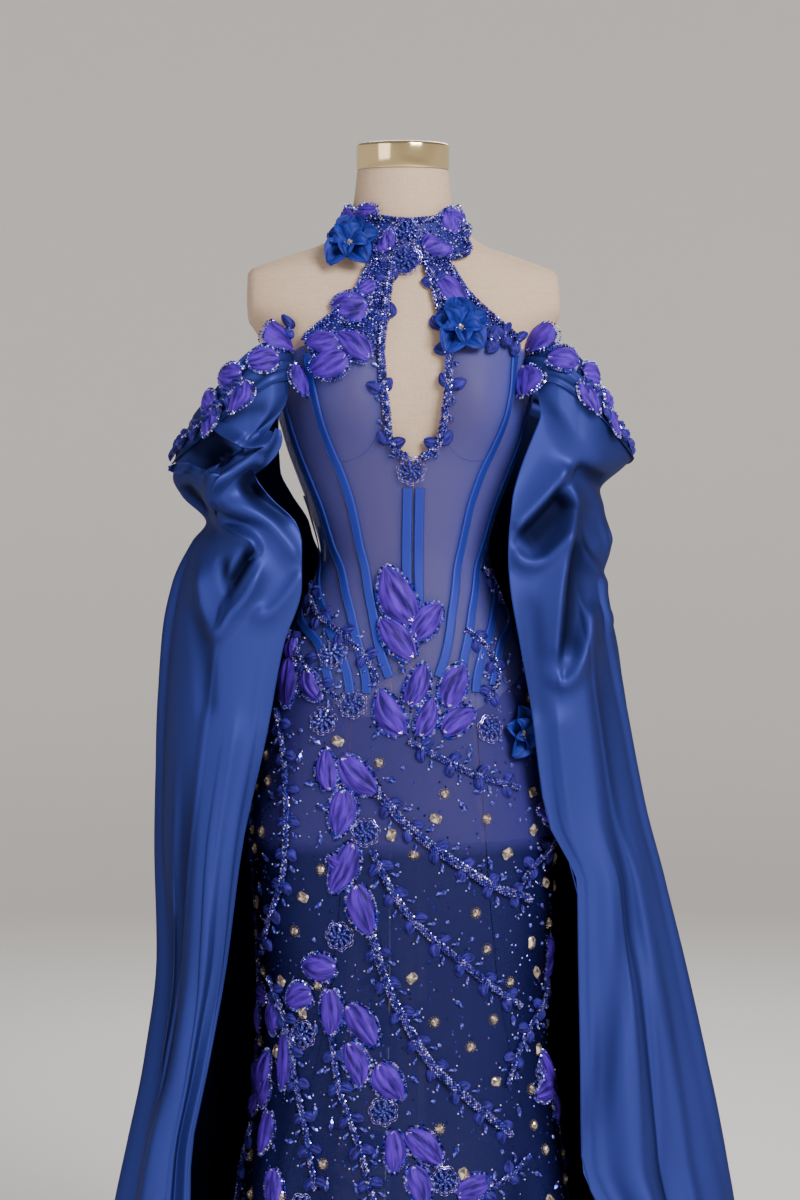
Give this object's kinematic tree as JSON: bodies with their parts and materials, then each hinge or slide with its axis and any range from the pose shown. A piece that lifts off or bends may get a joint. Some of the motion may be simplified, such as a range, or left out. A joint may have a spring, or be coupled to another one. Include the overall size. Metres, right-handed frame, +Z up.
{
  "type": "mermaid evening dress with cape sleeves on a limbless dress form with a round stand",
  "caption": "Halter corset mermaid gown with sheer beaded mesh, chiffon petals and long satin cape sleeves, worn by a limbless form.",
  "frame": {"origin": "centre of the stand base's flat underside, on the floor", "axes": "+Z up the form, -Y out of the front of the dress, +X to the right as seen from the front"},
  "size_m": [0.8393, 0.5893, 1.5983],
  "materials": {
    "corset_mesh": "sheer blue violet power mesh over the linen form",
    "channel_satin": "bright royal blue satin tape, low sheen",
    "skirt_mesh": "navy net with beads, crystals and chiffon leaves",
    "petal_chiffon": "gathered violet chiffon edged with silver beads",
    "flower_chiffon": "blue crinkled chiffon, crystal centre",
    "beaded_satin": "blue satin covered with silver and blue beads",
    "cape_satin": "heavy royal blue satin, soft sheen",
    "form_linen": "beige linen cover of the dress form",
    "cap_gold": "polished gold neck cap",
    "stand_metal": null
  },
  "bodies": {
    "root": {"centre_front_L": "corset_mesh", "centre_front_R": "corset_mesh", "side_front_L": "corset_mesh", "side_front_R": "corset_mesh", "side_L": "corset_mesh", "side_R": "corset_mesh", "hip_L": "corset_mesh", "hip_R": "corset_mesh", "centre_back_L": "corset_mesh", "centre_back_R": "corset_mesh", "channel_centre_L": "channel_satin", "channel_centre_R": "channel_satin", "channel_princess_L": "channel_satin", "channel_princess_R": "channel_satin", "channel_second_L": "channel_satin", "channel_second_R": "channel_satin", "channel_third_L": "channel_satin", "channel_third_R": "channel_satin", "channel_fourth_L": "channel_satin", "channel_fourth_R": "channel_satin", "back_zip": "channel_satin", "skirt_front": "skirt_mesh", "skirt_side_L": "skirt_mesh", "skirt_side_R": "skirt_mesh", "skirt_back_L": "skirt_mesh", "skirt_back_R": "skirt_mesh", "spray_waist": "petal_chiffon", "spray_basque": "petal_chiffon", "spray_bust": "petal_chiffon", "spray_hip": "petal_chiffon", "spray_thigh": "petal_chiffon", "spray_knee": "petal_chiffon", "spray_calf": "petal_chiffon", "spray_shin": "petal_chiffon", "vine_upper": "petal_chiffon", "vine_middle": "petal_chiffon", "vine_lower": "petal_chiffon", "vine_side": "petal_chiffon", "flower_collar": "flower_chiffon", "flower_strap": "flower_chiffon", "flower_hip": "flower_chiffon", "halter_L": "beaded_satin", "arm_band_L": "beaded_satin", "cape_L": "cape_satin", "halter_R": "beaded_satin", "arm_band_R": "beaded_satin", "cape_R": "cape_satin", "collar": "beaded_satin", "form_torso": "form_linen", "neck_cap": "cap_gold", "stand_pole": "stand_metal", "stand_base": "stand_metal"}
  },
  "joints": []
}
